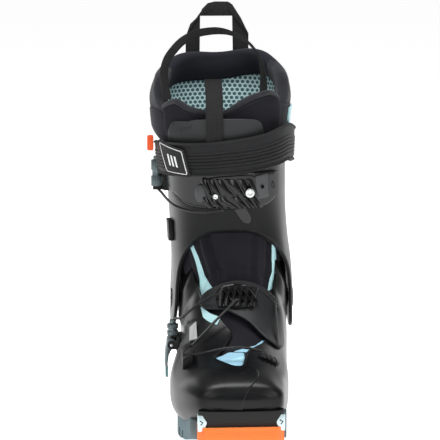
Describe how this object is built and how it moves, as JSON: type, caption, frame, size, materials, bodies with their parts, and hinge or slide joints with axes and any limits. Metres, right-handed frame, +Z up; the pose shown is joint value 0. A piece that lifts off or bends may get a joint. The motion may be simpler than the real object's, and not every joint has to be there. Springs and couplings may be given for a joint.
{
  "type": "alpine touring boot",
  "caption": "Ski touring boot with a hinged cuff, cable buckles, removable liner, power strap, walk lever and pin sockets.",
  "frame": {"origin": "middle of the heel tread's contact face, on the ground", "axes": "+Z up, toe towards -Y, +X towards the inner (medial) side of this right boot"},
  "size_m": [0.1358, 0.2826, 0.373],
  "materials": {
    "black_shell": "satin",
    "grey_shell": "satin",
    "black_trim": "satin",
    "black_rubber": "matte",
    "grey_rubber": "matte",
    "orange_rubber": "matte",
    "steel": "brushed",
    "alloy": "satin",
    "teal_tab": "satin",
    "orange_tab": "satin",
    "cable": "satin",
    "liner_fabric": "soft",
    "gaiter_fabric": "soft",
    "teal_fabric": "soft",
    "webbing": "woven",
    "board": "matte"
  },
  "bodies": {
    "foot": {"lower_shell": "black_shell", "heel_block": "black_shell", "forefoot_tread": "grey_rubber", "midfoot_rubber": "black_rubber", "heel_tread": "grey_rubber", "toe_bumper": "orange_rubber", "toe_welt": "black_rubber", "toe_insert": "steel", "heel_plate": "steel", "heel_screw": "steel", "boot_board": "board", "liner_foot": "liner_fabric", "insole": "liner_fabric", "gaiter": "gaiter_fabric", "instep_flap": "grey_shell", "instep_rack": "black_trim", "throat_patches": "teal_fabric", "upper_instep_cable": "cable", "lower_instep_cable": "cable", "forefoot_cable": "cable", "cable_guide": "black_trim", "cable_anchor": "steel", "shell_plate": "alloy", "lower_buckle_base": "black_trim", "lower_buckle_pin": "steel", "lower_adjuster_stem": "steel", "pivot_bolts": "steel", "pivot_nuts": "steel", "pivot_washers": "black_trim", "lock_plate": "steel"},
    "lower_lever": {"lower_lever": "alloy", "lower_lever_tab": "teal_tab"},
    "lower_adjuster": {"lower_adjuster": "alloy"},
    "cuff": {"cuff_shell": "black_shell", "cuff_band": "black_shell", "upper_rack": "black_trim", "end_plate": "grey_shell", "rack_nub": "grey_shell", "rack_screws": "steel", "pull_tab": "black_trim", "upper_cable": "cable", "cable_keeper": "black_trim", "cuff_tongue": "grey_shell", "power_strap": "webbing", "strap_patch": "black_rubber", "strap_tab": "orange_tab", "strap_rivet": "steel", "upper_buckle_base": "black_trim", "upper_buckle_pin": "steel", "upper_adjuster_stem": "steel", "walk_bracket": "black_trim", "walk_pin": "steel", "liner_shaft": "liner_fabric", "liner_tongue": "liner_fabric", "rear_pull_loop": "webbing", "front_pull_loop": "webbing", "tongue_pull": "webbing"},
    "upper_lever": {"upper_lever": "alloy"},
    "upper_adjuster": {"upper_adjuster": "alloy"},
    "walk_lever": {"walk_lever": "alloy"}
  },
  "joints": [
    {"name": "cuff_pivot", "type": "hinge", "parent": "foot", "child": "cuff", "pos_m": [0, -0.05, 0.102], "axis": [1, 0, 0], "range_deg": [-35, 25]},
    {"name": "lower_buckle", "type": "hinge", "parent": "foot", "child": "lower_lever", "pos_m": [-0.0545, -0.094, 0.07], "axis": [0, 1, 0], "range_deg": [0, 102]},
    {"name": "lower_adjuster_spin", "type": "hinge", "parent": "foot", "child": "lower_adjuster", "pos_m": [-0.053, -0.094, 0.08], "axis": [0, 0, 1], "continuous": true},
    {"name": "upper_buckle", "type": "hinge", "parent": "cuff", "child": "upper_lever", "pos_m": [-0.064, -0.034, 0.22], "axis": [0, 0, 1], "range_deg": [0, 120]},
    {"name": "upper_adjuster_spin", "type": "hinge", "parent": "cuff", "child": "upper_adjuster", "pos_m": [-0.0655, -0.05, 0.22], "axis": [0, 0, 1], "continuous": true},
    {"name": "walk_mode_lever", "type": "hinge", "parent": "cuff", "child": "walk_lever", "pos_m": [0.002, 0.038, 0.176], "axis": [-1, 0, 0], "range_deg": [0, 168]}
  ]
}
